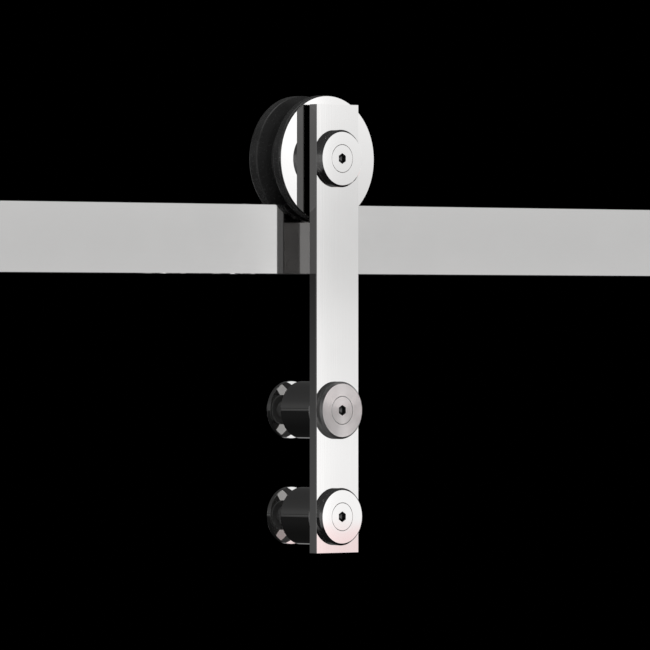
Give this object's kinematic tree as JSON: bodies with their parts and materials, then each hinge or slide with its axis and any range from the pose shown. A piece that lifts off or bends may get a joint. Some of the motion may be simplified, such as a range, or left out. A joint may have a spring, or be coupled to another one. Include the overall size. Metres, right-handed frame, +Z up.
{
  "type": "sliding barn door hardware",
  "caption": "Strap hanger with a grooved wheel rolling on a flat polished wall rail, with two round clamps for a glass door panel and rubber end stops.",
  "frame": {"origin": "on the wall plane, midway between the wall studs, at the rail's mid height", "axes": "+X along the rail, +Y into the wall, +Z up"},
  "size_m": [0.68, 0.106, 0.2624],
  "materials": {
    "polished_steel": "mirror polished stainless steel",
    "screw_steel": "bright stainless steel",
    "zinc_steel": "plain zinc-plated steel",
    "bearing_steel": "ground bearing steel",
    "cage_brass": "pressed brass",
    "spring_steel": "black phosphated spring steel",
    "black_nylon": "glossy black nylon",
    "black_rubber": "matt black rubber"
  },
  "bodies": {
    "rail_assembly": {"rail_bar": "polished_steel", "left_rail_bolt": "screw_steel", "left_wall_spacer": "polished_steel", "left_wall_pad": "black_rubber", "left_wall_stud": "zinc_steel", "left_stop_block": "polished_steel", "left_stop_bumper": "black_rubber", "left_bumper_screw": "screw_steel", "left_grub_screws": "zinc_steel", "right_rail_bolt": "screw_steel", "right_wall_spacer": "polished_steel", "right_wall_pad": "black_rubber", "right_wall_stud": "zinc_steel", "right_stop_block": "polished_steel", "right_stop_bumper": "black_rubber", "right_bumper_screw": "screw_steel", "right_grub_screws": "zinc_steel"},
    "hanger": {"hanger_strap": "polished_steel", "axle_cap": "polished_steel", "axle_screw": "screw_steel", "axle_spacer": "zinc_steel", "front_bearing_inner": "bearing_steel", "rear_bearing_inner": "bearing_steel", "bearing_sleeve": "zinc_steel", "axle_washer": "zinc_steel", "axle_nut": "zinc_steel", "upper_clamp_cap": "polished_steel", "upper_clamp_screw": "screw_steel", "upper_standoff": "polished_steel", "upper_front_gasket": "black_rubber", "upper_glass_sleeve": "black_nylon", "upper_rear_gasket": "black_rubber", "upper_back_disc": "polished_steel", "upper_back_screw": "screw_steel", "lower_clamp_cap": "polished_steel", "lower_clamp_screw": "screw_steel", "lower_standoff": "polished_steel", "lower_front_gasket": "black_rubber", "lower_glass_sleeve": "black_nylon", "lower_rear_gasket": "black_rubber", "lower_back_disc": "polished_steel", "lower_back_screw": "screw_steel"},
    "wheel": {"wheel_body": "black_nylon", "wheel_face_plate": "polished_steel", "front_bearing_outer": "bearing_steel", "rear_bearing_outer": "bearing_steel", "front_bearing_shield": "bearing_steel", "rear_bearing_shield": "bearing_steel", "bearing_circlip": "spring_steel"},
    "ball_set": {"front_bearing_balls": "bearing_steel", "rear_bearing_balls": "bearing_steel", "front_bearing_cage": "cage_brass", "rear_bearing_cage": "cage_brass"}
  },
  "joints": [
    {"name": "hanger_slide", "type": "slide", "parent": "rail_assembly", "child": "hanger", "axis": [1, 0, 0], "range_m": [-0.257, 0.257]},
    {"name": "wheel_spin", "type": "hinge", "parent": "hanger", "child": "wheel", "pos_m": [0, -0.035, 0.04625], "axis": [0, 1, 0], "continuous": true},
    {"name": "ball_orbit", "type": "hinge", "parent": "hanger", "child": "ball_set", "pos_m": [0, -0.035, 0.04625], "axis": [0, 1, 0], "continuous": true}
  ],
  "couplings": [
    {"joint": "wheel_spin", "follows": "hanger_slide", "rad_per_m": 38.462},
    {"joint": "ball_orbit", "follows": "hanger_slide", "rad_per_m": 24.231}
  ]
}
